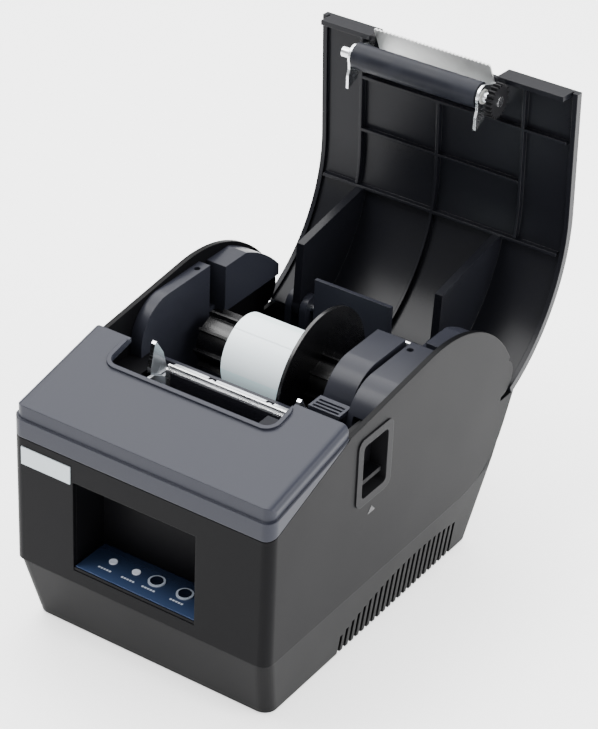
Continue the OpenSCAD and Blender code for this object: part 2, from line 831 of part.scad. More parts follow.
// Mechanism frame: two side plates, a rear plate against the bin, and a foot on the deck.
plate_t = 1.5;
gear_x = mech_x + 38.6;
plate_left = mech_x - 38.6;
plate_right = gear_x - 4.4;
head_face_y = platen_y + platen_r + 0.1;
head_y = head_face_y + 0.7;
sink_t = 3;
head_bottom = platen_z - 22;
head_pivot_y = head_y + 1.5;
head_pivot_z = head_bottom + 3;
head_pin_r = 1.2;
frame_rear_y = bin_front_y - bin_wall - plate_t;
spring_x = [mech_x - 18, mech_x + 13];
spring_z = platen_z - 9;
module head_frame() {
    color("#b9bcc2") placed() difference() {
        union() {
            for (x = [plate_left, plate_right]) across(x, x + plate_t) polygon([
                [46, head_bottom - 24], [46, deck_top - 0.3], [52.3, deck_top - 0.3], [52.3, platen_z - 2.8],
                [platen_y + 2.5, platen_z - 2.8], [head_y + 3, platen_z - 7],
                [frame_rear_y + 1, platen_z - 7], [frame_rear_y + 1, head_bottom - 14],
                [66, head_bottom - 30], [52, head_bottom - 30]
            ]);
            block([plate_left, frame_rear_y, head_bottom - 14],
                [plate_right + plate_t, frame_rear_y + plate_t, deck_top]);
            block([plate_left, head_y, head_bottom - 3],
                [plate_right + plate_t, frame_rear_y + 1, head_bottom - 1.5]);
            block([plate_left - 12, 52.4, deck_top], [plate_left + plate_t, 62, deck_top + 1.2]);
        }
        rod(-half_w, half_w, head_pivot_y, head_pivot_z, head_pin_r + run_fit);
        rod(-half_w, half_w, latch_y, latch_z, latch_r + run_fit);
        rod(mech_x, half_w, red_y, red_z, 1.52);
        rod(mech_x, half_w, motor_y, motor_z, 3.02);
        for (x = spring_x) {
            translate([x, frame_rear_y - over, spring_z]) rotate([-90, 0, 0]) cylinder(h = 4, r = 3.2);
            block([x - 4, frame_rear_y - over, head_bottom + 1], [x + 4, frame_rear_y + 4, head_bottom + 4]);
        }
    }
}

module heat_sink() {
    color("#d3d6da") placed() {
        block([mech_x - 34.2, head_y, head_bottom], [mech_x + 31, head_y + sink_t, platen_z - 0.5]);
        block([mech_x - 33.5, head_y + 0.8, platen_z - 1], [mech_x + 29.5, head_y + 2, platen_z + 1.5]);
        rod(plate_left, plate_right + plate_t, head_pivot_y, head_pivot_z, head_pin_r);
    }
}

module print_head() {
    color("#8f7a52") placed() {
        block([mech_x - 31, head_face_y, platen_z - 12], [mech_x + 27, head_y, platen_z - 1]);
        block([mech_x - 27, head_y - 1.6, platen_z - 16], [mech_x + 23, head_y, platen_z - 11.6]);
    }
}

// Springs behind the head, each with its tail in a hole of the frame's rear plate.
module head_springs() {
    length = frame_rear_y + 0.7 - head_y - sink_t;
    turns = 4;
    color("#c9ccd1") placed() for (x = spring_x)
        translate([x, head_y + sink_t, spring_z]) rotate([-90, 0, 0]) difference() {
            cylinder(h = length, r = 2.6);
            translate([0, 0, -over]) cylinder(h = length + 2 * over, r = 1.7);
            for (i = [0:turns - 1]) translate([0, 0, 1 + i * 2]) difference() {
                cylinder(h = 1, r = 3);
                translate([0, 0, -over]) cylinder(h = 3, r = 2.2);
            }
        }
}

module head_cable() {
    y0 = head_y - 1.6;
    color("#e8e4d8") placed() across(mech_x - 14, mech_x + 10) polygon([
        [y0, platen_z - 16], [y0, 40], [board_y0 + 4, 24], [board_y0 + 4, port_base + 6],
        [board_y0 + 4.4, port_base + 6], [board_y0 + 4.4, 24], [y0 + 0.4, 39.8], [y0 + 0.4, platen_z - 16]
    ]);
}

// Latch: two hooks and a lever on one shaft, lifted by the tail of the open button.
latch_y = head_y + 7;
latch_z = platen_z - 30;
latch_r = 1.8;
hook_t = 2;
hook_x = [mech_x - 41, mech_x + 36];
lever_y = latch_y - 14.3;
lever_gap = 0.25;
lever_tip_r = 1.5;
lever_x = button_x0 - 8.2;
module latch_shaft() {
    tip_z = tail_top + lever_gap + lever_tip_r;
    color("#c9ccd1") placed() {
        rod(hook_x[0] - 1, lever_x + 2.4, latch_y, latch_z, latch_r);
        across(lever_x, lever_x + 2) {
            translate([latch_y, latch_z]) circle(3.4);
            translate([lever_y, tip_z]) circle(lever_tip_r);
            translate([lever_y, tip_z - lever_tip_r]) square([latch_y + 2 - lever_y, 2 * lever_tip_r]);
            translate([latch_y - 1.5, latch_z]) square([3.5, tip_z - latch_z]);
        }
    }
}

// The front edge of each hook follows the path of the platen shaft as the lid moves.
function path_lean(h) = h * tan(close_angle) + h * h / 2 / (hinge_y - platen_y) + 0.02 * h;
module hook_side() {
    front = platen_y + shaft_r + 0.3;
    difference() {
        union() {
            translate([latch_y, latch_z]) circle(4);
            polygon([
                [latch_y - 3.4, latch_z], [latch_y - 3, platen_z - 9], [front, platen_z - 3],
                [front, platen_z],
                [front + path_lean(11), platen_z + 11], [front + path_lean(11) + 1.2, platen_z + 11.8],
                [latch_y - 2, platen_z + 4], [latch_y + 1.4, platen_z - 8], [latch_y + 3.4, latch_z]
            ]);
        }
        translate([latch_y, latch_z]) circle(latch_r);
    }
}

module latch_hooks() {
    color("#d9dce0") placed() for (x = hook_x) across(x, x + hook_t) hook_side();
}

module latch_spring() {
    x0 = gear_x + gear_w + 1;
    color("#9a9da3") placed() difference() {
        rod(x0, x0 + 6, latch_y, latch_z, latch_r + 1.2);
        rod(x0 - over, x0 + 6 + over, latch_y, latch_z, latch_r + 0.25);
        for (i = [0:2]) difference() {
            rod(x0 + 0.8 + i * 1.8, x0 + 1.7 + i * 1.8, latch_y, latch_z, 5);
            rod(x0, x0 + 6, latch_y, latch_z, latch_r + 0.7);
        }
    }
}

// Gear outline with straight-sided teeth, thinned for backlash.
function gear_points(teeth, m) = [
    for (i = [0:teeth - 1], k = [0:3])
        let (
            a = 360 / teeth * (i + [-0.36, -0.14, 0.14, 0.36][k]),
            r = m * teeth / 2 + (k == 0 || k == 3 ? -1.2 * m : 0.85 * m)
        )
        [r * cos(a), r * sin(a)]
];

module gear(teeth, turn, bore) {
    difference() {
        rotate(turn) polygon(gear_points(teeth, gear_module));
        circle(bore);
    }
}

// Drive train: motor pinion, reduction gear, and the platen gear that drops onto it
// as the lid closes, so the gear centres lie along the closing path.
gear_w = 3.6;
pinion_teeth = 12;
big_teeth = 40;
mesh_gap = 0.12;
close_angle = atan2(platen_z - hinge_z, hinge_y - platen_y);
platen_centres = gear_module * (platen_teeth + big_teeth) / 2 + mesh_gap;
red_y = platen_y - platen_centres * sin(close_angle);
red_z = platen_z - platen_centres * cos(close_angle);
motor_centres = gear_module * (pinion_teeth + big_teeth) / 2 + mesh_gap;
motor_angle = 240;
motor_y = red_y + motor_centres * cos(motor_angle);
motor_z = red_z + motor_centres * sin(motor_angle);
red_to_platen = 90 - close_angle;
mesh_shift = (red_to_platen - motor_angle) * big_teeth / platen_teeth;
platen_turn = red_to_platen + 180 + mesh_shift - 180 / platen_teeth;
axle_r = 1.5;
pinion_r = 0.9;
module motor() {
    color("#9fa3a8") placed() difference() {
        union() {
            rod(plate_right - 17, plate_right - 1.5, motor_y, motor_z, 10);
            rod(plate_right - 2, plate_right + plate_t + 0.4, motor_y, motor_z, 3);
            block([plate_right - 1.6, motor_y - 13, motor_z - 4], [plate_right, motor_y + 13, motor_z + 4]);
        }
        rod(plate_right - 3, gear_x + gear_w, motor_y, motor_z, pinion_r + run_fit);
    }
}

module motor_pinion() {
    color("#c9b26a") placed() {
        across(gear_x, gear_x + gear_w) translate([motor_y, motor_z])
            gear(pinion_teeth, motor_angle + 180 + 180 / pinion_teeth, pinion_r / 2);
        rod(plate_right - 2.6, gear_x + gear_w + 0.5, motor_y, motor_z, pinion_r);
    }
}

module reduction_gear() {
    color("#e3e3df") placed() {
        across(gear_x, gear_x + gear_w) translate([red_y, red_z])
            gear(big_teeth, motor_angle, axle_r + run_fit);
        across(plate_right + plate_t + 0.2, gear_x) translate([red_y, red_z]) difference() {
            circle(6);
            circle(axle_r + run_fit);
        }
    }
}

module gear_axle() {
    color("#b9bcc2") placed() rod(plate_right, gear_x + gear_w + 1, red_y, red_z, axle_r);
}

// Roll guides: a disc with a ribbed hub, standing on a foot over the rail.
rail_y = roll_y;
rail_z = bin_floor_z + 4;
rail_r = 2;
hub_r = 14.5;
hub_len = 18;
foot_len = 6;
module guide_disc(face, out, radius) {
    x0 = min(face, face + out * disc_t);
    x1 = max(face, face + out * disc_t);
    h0 = min(face, face + out * hub_len);
    h1 = max(face, face + out * hub_len);
    p0 = min(face, face - out * 7);
    p1 = max(face, face - out * 7);
    difference() {
        union() {
            rod(x0, x1, roll_y, roll_z, radius);
            across(h0, h1) translate([roll_y, roll_z]) difference() {
                circle(hub_r - 2.5);
                circle(hub_r - 4.5);
            }
            for (i = [0:7]) translate([0, roll_y, roll_z]) rotate([i * 45, 0, 0])
                block([h0, 5, -0.7], [h1, hub_r, 0.7]);
            rod(h0, h1, roll_y, roll_z, 5.5);
            rod(p0, p1, roll_y, roll_z, core_r - 1.6);
            block([min(face, face + out * foot_len), roll_y - 6, rail_z - 3.6],
                [max(face, face + out * foot_len), roll_y + 6, roll_z - 11]);
        }
        rod(face - 40, face + 40, rail_y, rail_z, rail_r + run_fit);
    }
}

guide_face_l = roll_left - disc_gap;
guide_face_r = roll_left + roll_w + disc_gap;
module fixed_guide() {
    color("#141416") placed() guide_disc(guide_face_l, -1, hub_r - 1);
}

module sliding_guide() {
    color("#141416") placed() guide_disc(guide_face_r, 1, disc_r);
}

module guide_rail() {
    color("#c9ccd1") placed() rod(bin_left, bin_right, rail_y, rail_z, rail_r);
}

module paper_roll() {
    color("#eef8fb") placed() difference() {
        rod(roll_left, roll_left + roll_w, roll_y, roll_z, roll_r);
        rod(roll_left - over, roll_left + roll_w + over, roll_y, roll_z, core_r);
    }
}

module paper_core() {
    color("#b89b74") placed() difference() {
        rod(roll_left, roll_left + roll_w, roll_y, roll_z, core_r);
        rod(roll_left - over, roll_left + roll_w + over, roll_y, roll_z, core_r - 1.5);
    }
}

module paper_sensor() {
    color("#0f0f12") placed()
        block([mech_x - 4, bin_front_y, deck_top - 16], [mech_x + 4, bin_front_y + 5, deck_top - 8]);
}

module lid_switch() {
    x = half_w - wall - 22;
    color("#0f0f12") placed() {
        block([x, 50, deck_top], [x + 10, 56, deck_top + 7]);
        block([x + 3, 52, deck_top + 7], [x + 5, 54, deck_top + 9]);
    }
}

module hinge_pin() {
    reach = arm_x + arm_t / 2 + arm_gap + lug_t + 0.5;
    color("#b9bcc2") placed() rod(mech_x - reach, mech_x + reach, hinge_y, hinge_z, pin_r);
}

// Side view band between two depths under the lid's outer surface.
module lid_band(depth0, depth1, y0, end_angle) {
    intersection() {
        difference() {
            arch(lid_r - depth0, y0);
            arch(lid_r - depth1, y0 - over);
        }
        polygon([
            [y0, arch_z], [y0, body_h + 50], [arch_y + 200, body_h + 50],
            [arch_y + 200 * cos(end_angle), arch_z + 200 * sin(end_angle)], [arch_y, arch_z]
        ]);
    }
}

lid_half = half_w + 0.6;
flange_t = 2.4;
free_wall_x = half_w - wall - 0.4;
lid_gap_x0 = mech_x - 32.4;
lid_gap_x1 = mech_x + 35.4;
rib_t = 1.4;
rib_h = 3;
rib_y = [hinge_y - 47, hinge_y - 77, hinge_y - 105];
rib_x0 = [-free_wall_x, mech_x - 40.5, mech_x - 41];
rib_x1 = [free_wall_x, mech_x + 46, free_wall_x];
long_rib_x = [mech_x - 40.5, mech_x + 2, mech_x + 47];

module arm_side() {
    intersection() {
        union() {
            polygon([
                [rib_y[0], body_h + 20], [rib_y[0], hinge_z + 47], [hinge_y - 34.5, hinge_z - 6],
                [hinge_y - 3, hinge_z - 5.8], [hinge_y + 5.5, hinge_z + 3.5], [hinge_y + 4, body_h + 20]
            ]);
            translate([hinge_y, hinge_z]) circle(knuckle_r);
        }
        arch(lid_r - lid_skin + 0.4, 0);
    }
}

module lid() {
    color("#2b2b2f") on_open_lid() difference() {
        union() {
            across(-lid_half, lid_half) lid_band(0, lid_skin, lid_front_y, tip_angle);
            for (x = [-lid_half, lid_half - flange_t]) across(x, x + flange_t)
                lid_band(lid_skin - 0.4, flange_h, lid_front_y, tip_angle);
            difference() {
                across(-free_wall_x, free_wall_x) intersection() {
                    lid_band(lid_skin - 0.4, free_wall_h, lid_front_y, 90);
                    translate([lid_front_y, 0]) square([2.4, body_h + 40]);
                }
                block([lid_gap_x0, 0, 0], [lid_gap_x1, body_d, body_h + 20]);
            }
            for (i = [0:2]) across(rib_x0[i], rib_x1[i]) intersection() {
                lid_band(lid_skin - 0.4, lid_skin + rib_h, lid_front_y, tip_angle);
                translate([rib_y[i], 0]) square([rib_t, body_h + 40]);
            }
            for (x = [long_rib_x[0], long_rib_x[2]]) across(x - rib_t / 2, x + rib_t / 2)
                lid_band(lid_skin - 0.4, lid_skin + rib_h, lid_front_y, 82);
            across(long_rib_x[1] - rib_t / 2, long_rib_x[1] + rib_t / 2)
                lid_band(lid_skin - 0.4, lid_skin + rib_h, rib_y[2], tip_angle + 6);
            for (x = [mech_x - arm_x, mech_x + arm_x]) across(x - arm_t / 2, x + arm_t / 2) arm_side();
        }
        rod(-half_w, half_w, hinge_y, hinge_z, pin_r + run_fit);
        block([lid_gap_x0, lid_front_y - over, arch_z], [lid_gap_x1, lid_front_y + 5, body_h + 20]);
    }
}

// Bracket: a plate under the lid skin with an ear at each end for the platen.
ear_t = 1.2;
ear_x = [platen_mid - platen_len / 2 - 0.6 - ear_t, platen_mid + platen_len / 2 + 0.6];
bracket_top = top_z(lid_r - lid_skin, platen_y) - 0.1;
bracket_rise = tan(lid_slope);
bush_r = shaft_r + 1;
module ear_side() {
    difference() {
        union() {
            translate([platen_y, platen_z]) circle(5.4);
            polygon([
                [platen_y - 5.4, platen_z], [platen_y - 2, bracket_top - 1],
                [platen_y + 13, bracket_top + 0.6],
                [platen_y + 12, platen_z + 10], [platen_y + 5.4, platen_z + 1]
            ]);
            polygon([
                [platen_y, platen_z - 5], [platen_y + 6, platen_z - 4.2], [platen_y + 9, platen_z - 5],
                [platen_y + 15.5, platen_z - 4.4], [platen_y + 12.5, platen_z + 2.5],
                [platen_y + 4, platen_z + 6]
            ]);
        }
        translate([platen_y, platen_z]) circle(bush_r);
    }
}

bracket_screw_x = [mech_x - 26, mech_x + 24];
module platen_bracket() {
    color("#c9ccd1") on_open_lid() {
        for (x = ear_x) across(x, x + ear_t) ear_side();
        difference() {
            across(ear_x[0], ear_x[1] + ear_t) polygon([
                [platen_y + 1, bracket_top - 1], [platen_y + 1, bracket_top + bracket_rise],
                [platen_y + 14, bracket_top + 14 * bracket_rise],
                [platen_y + 14, bracket_top - 1 + 13 * bracket_rise]
            ]);
            for (x = bracket_screw_x) bracket_screw_place(x) cylinder(h = 6, r = 1.3, center = true);
        }
    }
}

module bracket_screw_place(x) {
    translate([x, platen_y + 9, bracket_top - 1 + 8 * bracket_rise]) rotate([lid_slope, 0, 0]) children();
}

module bracket_screws() {
    color("#8d9095") on_open_lid() for (x = bracket_screw_x) bracket_screw_place(x) {
        translate([0, 0, -1.3]) cylinder(h = 1.2, r = 2.4);
        translate([0, 0, -0.5]) cylinder(h = 1.3, r = 1.2);
    }
}

module platen_bushings() {
    color("#dfe1e4") on_open_lid() for (i = [0, 1]) {
        inner = i == 0 ? ear_x[0] + ear_t : ear_x[1] - 0.5;
        difference() {
            union() {
                rod(ear_x[i] - 0.3 * (1 - i), ear_x[i] + ear_t + 0.3 * i, platen_y, platen_z, bush_r);
                rod(inner, inner + 0.5, platen_y, platen_z, bush_r + 0.8);
            }
            rod(-half_w, half_w, platen_y, platen_z, shaft_r + run_fit);
        }
    }
}

module platen_shaft() {
    color("#d9dce0") on_open_lid()
        rod(hook_x[0] - 0.4, gear_x + gear_w + 0.5, platen_y, platen_z, shaft_r);
}

module platen_sleeve() {
    color("#2c2e36") on_open_lid() difference() {
        rod(platen_mid - platen_len / 2, platen_mid + platen_len / 2, platen_y, platen_z, platen_r);
        rod(-half_w, half_w, platen_y, platen_z, shaft_r);
    }
}

module platen_gear() {
    color("#141416") on_open_lid() across(gear_x, gear_x + gear_w)
        translate([platen_y, platen_z]) gear(platen_teeth, platen_turn, shaft_r);
}

// Tear blade: a thin plate in front of the platen with a toothed edge.
blade_t = 0.8;
blade_half = 31;
blade_len = 15.4;
blade_lean = 30;
tooth_pitch = 2;
module tear_blade() {
    teeth = floor(2 * blade_half / tooth_pitch);
    color("#e6e8ea") on_open_lid()
        translate([mech_x, platen_y + 0.9, bracket_top - 1]) rotate([blade_lean, 0, 0])
        translate([0, 0, -blade_t]) linear_extrude(blade_t) polygon(concat(
            [[blade_half, 0], [-blade_half, 0]],
            [for (i = [0:teeth - 1], k = [0, 1])
                [-blade_half + (i + k * 0.5) * tooth_pitch, -blade_len + (k == 0 ? 1 : 0)]],
            [[blade_half, -blade_len + 1]]
        ));
}

rubber_feet();
bottom_case();
case_screws();
main_board();
board_screws();
power_jack();
usb_socket();
drawer_socket();
connector_plate();
switch_case();
power_rocker();
upper_case();
panel_housing();
panel_overlay();
panel_board();
led_lenses();
button_rings();
pause_button();
feed_button();
badge_plate();
open_bezel();
open_button();
front_cover();
cover_screws();
inner_deck();
gear_cover();
paper_bin();
paper_guide();
head_frame();
heat_sink();
print_head();
head_springs();
head_cable();
latch_shaft();
latch_hooks();
latch_spring();
motor();
motor_pinion();
reduction_gear();
gear_axle();
fixed_guide();
sliding_guide();
guide_rail();
paper_roll();
paper_core();
paper_sensor();
lid_switch();
hinge_pin();
lid();
platen_bracket();
bracket_screws();
platen_bushings();
platen_shaft();
platen_sleeve();
platen_gear();
tear_blade();
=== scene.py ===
# %% [markdown]
# # A receipt printer with its lid open
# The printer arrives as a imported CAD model: 56 separate parts that already sit in the right
# places. This lesson gives them their looks. It sets up a camera and a small studio, writes a
# handful of procedural finishes, and swaps the few parts whose CAD shape is only a stand-in,
# such as the springs, for finer meshes. Everything is in metres.

import math

import bmesh
import bpy
import numpy as np
from mathutils import Matrix, Vector


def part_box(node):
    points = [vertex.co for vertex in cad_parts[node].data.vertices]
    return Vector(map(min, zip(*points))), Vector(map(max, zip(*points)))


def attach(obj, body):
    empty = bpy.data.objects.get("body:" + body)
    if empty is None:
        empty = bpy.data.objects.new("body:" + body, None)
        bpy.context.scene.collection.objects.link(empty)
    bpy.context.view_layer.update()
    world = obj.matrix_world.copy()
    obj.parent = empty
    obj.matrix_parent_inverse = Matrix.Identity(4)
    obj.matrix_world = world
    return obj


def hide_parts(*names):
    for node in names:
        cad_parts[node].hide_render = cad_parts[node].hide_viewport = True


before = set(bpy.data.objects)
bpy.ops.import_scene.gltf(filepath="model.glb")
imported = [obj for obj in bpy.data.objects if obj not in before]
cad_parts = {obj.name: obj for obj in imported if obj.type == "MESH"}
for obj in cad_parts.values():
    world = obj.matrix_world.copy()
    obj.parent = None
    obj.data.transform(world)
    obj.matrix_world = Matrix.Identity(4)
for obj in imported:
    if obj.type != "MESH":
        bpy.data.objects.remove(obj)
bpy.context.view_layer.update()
mm = 0.001


def node_box(name):
    """Lowest and highest corner of a CAD part, as two numpy arrays."""
    low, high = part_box(name)
    return np.array(low), np.array(high)


# %% [markdown]
# ## The camera
# Product pictures are taken with a long lens from well above, so that edges stay nearly
# parallel. The camera's place and its three angles are enough to fix the view: the azimuth
# turns it round the printer, the elevation tips it down and the tilt turns the horizon.

# %% Place the camera
camera_place = Vector((0.5375, -0.8347, 0.7267))
azimuth = math.radians(32.8)
elevation = math.radians(32.3)
tilt = math.radians(2.5)
lens_mm = 129.4


def view_axes(azimuth, elevation, tilt):
    """Right, up and back vectors: back points from the subject to the camera, right is level
    and square to it, and both right and up then turn by the tilt."""
    back = Vector((math.sin(azimuth) * math.cos(elevation),
                   -math.cos(azimuth) * math.cos(elevation), math.sin(elevation)))
    right = (-back).cross(Vector((0, 0, 1))).normalized()
    up = right.cross(-back)
    return (right * math.cos(tilt) + up * math.sin(tilt),
            up * math.cos(tilt) - right * math.sin(tilt), back)


right, up, back = view_axes(azimuth, elevation, tilt)
camera = bpy.data.objects.new("camera", bpy.data.cameras.new("camera"))
bpy.context.collection.objects.link(camera)
turned = Matrix((right, up, back)).transposed().to_4x4()
camera.matrix_world = Matrix.Translation(camera_place) @ turned
camera.data.lens = lens_mm
camera.data.sensor_width = 36
camera.data.clip_start = 0.01
bpy.context.scene.camera = camera
print("camera at", [round(v, 3) for v in camera_place])

# %% [markdown]
# ## Writing shaders as sums
# A shader made by hand is a web of Math nodes. Python can write it as plain arithmetic if a
# small class stands for a socket and its operators add the nodes. `Tree.node` makes any other
# node: its settings are put in first, because some of them change which sockets exist.

# %% A socket that can be added and multiplied
class Flow:
    def __init__(self, tree, socket):
        self.tree, self.socket = tree, socket

    def math(self, operation, other=0.0, swap=False):
        first, second = (other, self) if swap else (self, other)
        return self.tree.node("ShaderNodeMath", {"operation": operation}, {0: first, 1: second})[0]

    def __add__(self, other): return self.math("ADD", other)
    def __radd__(self, other): return self.math("ADD", other)
    def __sub__(self, other): return self.math("SUBTRACT", other)
    def __rsub__(self, other): return self.math("SUBTRACT", other, swap=True)
    def __mul__(self, other): return self.math("MULTIPLY", other)
    def __rmul__(self, other): return self.math("MULTIPLY", other)
    def __truediv__(self, other): return self.math("DIVIDE", other)
    def __rtruediv__(self, other): return self.math("DIVIDE", other, swap=True)

    def clamp(self, low=0.0, high=1.0):
        return self.math("MAXIMUM", low).math("MINIMUM", high)


# %% A material and its nodes
class Tree:
    def __init__(self, name):
        self.material = bpy.data.materials.new(name)
        self.material.use_nodes = True
        self.nodes = self.material.node_tree.nodes
        self.links = self.material.node_tree.links
        self.shader = self.nodes["Principled BSDF"]
        coordinates = self.nodes.new("ShaderNodeTexCoord")
        self.place = Flow(self, coordinates.outputs["Object"])

    def node(self, kind, settings=None, inputs=None):
        """A new node with its settings and inputs filled in; gives its outputs."""
        made = self.nodes.new(kind)
        for key, value in (settings or {}).items():
            setattr(made, key, value)
        for key, value in (inputs or {}).items():
            self.put(made.inputs[key], value)
        return [Flow(self, out) for out in made.outputs]

    def put(self, socket, value):
        if isinstance(value, Flow):
            self.links.new(value.socket, socket)
        elif isinstance(value, (tuple, list)) and len(value) == 3 and socket.type == "RGBA":
            socket.default_value = (*value, 1)
        else:
            socket.default_value = value

    def axes(self, place=None):
        return self.node("ShaderNodeSeparateXYZ", inputs={0: place or self.place})

    def stretched(self, scale):
        return self.node("ShaderNodeMapping", inputs={"Vector": self.place, "Scale": scale})[0]

    def noise(self, per_metre, detail=2.0, place=None):
        return self.node("ShaderNodeTexNoise", inputs={
            "Vector": place or self.place, "Scale": per_metre, "Detail": detail})[0]

    def mix(self, factor, first, second):
        return self.node("ShaderNodeMix", {"data_type": "RGBA"},
                         {0: factor, 6: first, 7: second})[2]

    def ramp(self, factor, low, high):
        """0 below low, 1 above high and a straight line between them."""
        return ((factor - low) / (high - low)).clamp()

    def bump(self, height, depth, normal=None):
        inputs = {"Height": height, "Strength": 1.0, "Distance": depth}
        if normal is not None:
            inputs["Normal"] = normal
        self.put(self.shader.inputs["Normal"], self.node("ShaderNodeBump", inputs=inputs)[0])

    def set(self, **sockets):
        for key, value in sockets.items():
            self.put(self.shader.inputs[key.replace("_", " ")], value)


print("shader helpers ready")

# %% [markdown]
# ## Moulded plastic
# A printer case is injection moulded in a mould whose surface was eaten by sparks, which leaves
# a fine even grain. Light catches the edges first, because the mould rounds them slightly and
# handling polishes them. A Bevel node bends the normal near an edge: feeding it under the grain
# softens the edge, and comparing it with the true normal finds the edge for a little wear.

# %% Finish: moulded plastic
def edge_of(tree, radius):
    """The softened normal, and a mask that is 1 at an edge: one minus the dot product of the
    true and the softened normal, scaled up."""
    soft = tree.node("ShaderNodeBevel", {"samples": 4}, {"Radius": radius})[0]
    true = tree.node("ShaderNodeNewGeometry")[1]
    dot = tree.node("ShaderNodeVectorMath", {"operation": "DOT_PRODUCT"}, {0: soft, 1: true})[1]
    return soft, ((1 - dot) * 3.0).clamp()


def moulded(name, colour, roughness, grain=0.00003, grain_size=0.00035, wear=0.35,
            edge=0.0005, gloss=0.05, patch=0.08):
    tree = Tree(name)
    soft, mask = edge_of(tree, edge)
    cloud = tree.noise(28, 3)
    fine = tree.noise(1 / grain_size, 2)
    dark = tuple(c * (1 - patch) for c in colour)
    light = tuple(c * (1 + patch) for c in colour)
    worn = tuple(min(1, c * 2.0 + 0.012) for c in colour)
    body = tree.mix(cloud, dark, light)
    speck = tree.ramp(fine, 0.62, 0.75) * 0.25
    body = tree.mix(speck, body, worn)
    tree.set(Base_Color=tree.mix(mask * wear, body, worn),
             Roughness=(cloud * 0.1 + fine * 0.08 + (roughness - 0.09)) - mask * 0.1,
             Specular_IOR_Level=gloss)
    tree.bump(fine, grain, soft)
    return tree.material


case_plastic = moulded("case_plastic", (0.0036, 0.0036, 0.0042), 0.38)
base_plastic = moulded("base_plastic", (0.0034, 0.0034, 0.0038), 0.42)
lid_plastic = moulded("lid_plastic", (0.0060, 0.0063, 0.0085), 0.30, grain=0.000015, gloss=0.12)
cover_plastic = moulded("cover_plastic", (0.0165, 0.0180, 0.0270), 0.36,
                        grain=0.00002, gloss=0.18)
# The bin's lighter base colour is partly its own bluish grey and partly a painted sheen that lifts
# its walls.
bin_plastic = moulded("bin_plastic", (0.016, 0.0170, 0.0235), 0.30, grain=0.00001, gloss=0.15)
guide_plastic = moulded("guide_plastic", (0.0026, 0.0026, 0.0032), 0.28,
                        grain=0.00001, edge=0.0003, gloss=0.4)
bezel_plastic = moulded("bezel_plastic", (0.010, 0.010, 0.011), 0.36, edge=0.0004)
hidden_plastic = moulded("hidden_plastic", (0.0036, 0.0036, 0.0044), 0.42, edge=0.0003)
trough_plastic = moulded("trough_plastic", (0.010, 0.0105, 0.014), 0.34, grain=0.00001)
key_plastic = moulded("key_plastic", (0.006, 0.009, 0.018), 0.3, grain=0.00001, edge=0.0002)
red_plastic = moulded("red_plastic", (0.42, 0.016, 0.014), 0.3, grain=0.000005, edge=0.0003)
white_acetal = moulded("white_acetal", (0.70, 0.70, 0.66), 0.35,
                       grain=0.000008, wear=0.1, edge=0.0002)
black_acetal = moulded("black_acetal", (0.010, 0.010, 0.011), 0.3, grain=0.000008, edge=0.0002)
print("plastics made")

# %% [markdown]
# ## Sheet metal and ground rod
# Sheet steel is rolled, so its scratches run one way; a ground rod has rings round it instead.
# Both come from noise that is squeezed along one axis and stretched along another. A few dull
# patches of handling keep it from looking like a mirror.

# %% Finish: metal
def metal(name, colour, roughness, scratches=(40, 4000, 4000), depth=0.000004, edge=0.0002):
    tree = Tree(name)
    soft, mask = edge_of(tree, edge)
    lines = tree.noise(1.0, 3, tree.stretched(scratches))
    stains = tree.noise(120, 4)
    dull = tuple(c * 0.72 for c in colour)
    bright = tuple(min(1, c * 1.12) for c in colour)
    tree.set(Base_Color=tree.mix(mask * 0.5, tree.mix(stains, dull, colour), bright),
             Metallic=1.0,
             Roughness=(lines * 0.16 + stains * 0.12 + (roughness - 0.14)).clamp(0.05, 1.0))
    tree.bump(lines, depth, soft)
    return tree.material


zinc_sheet = metal("zinc_sheet", (0.60, 0.62, 0.65), 0.32)
bright_sheet = metal("bright_sheet", (0.80, 0.82, 0.84), 0.24)
blade_sheet = metal("blade_sheet", (0.90, 0.91, 0.90), 0.52)
dull_sheet = metal("dull_sheet", (0.36, 0.37, 0.39), 0.42)
ground_rod = metal("ground_rod", (0.72, 0.73, 0.75), 0.22, scratches=(5000, 60, 60))
head_aluminium = metal("head_aluminium", (0.84, 0.85, 0.86), 0.28, scratches=(60, 2500, 2500))
spring_wire = metal("spring_wire", (0.55, 0.56, 0.58), 0.3, scratches=(900, 900, 900))
pinion_brass = metal("pinion_brass", (0.72, 0.52, 0.24), 0.28, scratches=(3000, 300, 300))
print("metals made")

# %% [markdown]
# ## Rubber
# The platen is a steel rod in a sleeve of dark rubber, ground true after moulding. Grinding
# leaves faint rings round the sleeve and a soft bloom of dust from the paper.

# %% Finish: rubber
def rubber(name, colour, ring_depth):
    tree = Tree(name)
    rings = tree.noise(1.0, 2, tree.stretched((2500, 90, 90)))
    bloom = tree.ramp(tree.noise(75, 4), 0.48, 0.72)
    pale = tuple(c * 1.7 + 0.008 for c in colour)
    tree.set(Base_Color=tree.mix(bloom * 0.55, colour, pale),
             Roughness=rings * 0.12 + bloom * 0.18 + 0.34, Specular_IOR_Level=0.14)
    tree.bump(rings, ring_depth)
    return tree.material


platen_rubber = rubber("platen_rubber", (0.0075, 0.0085, 0.013), 0.000012)
foot_rubber = rubber("foot_rubber", (0.006, 0.006, 0.0065), 0.00004)
print("rubber made")

# %% [markdown]
# ## Circuit boards and small electrical parts
# A board is green solder resist over copper: the tracks show through as a slightly lighter
# pattern with square corners. A Voronoi texture measured as city blocks draws such a pattern.

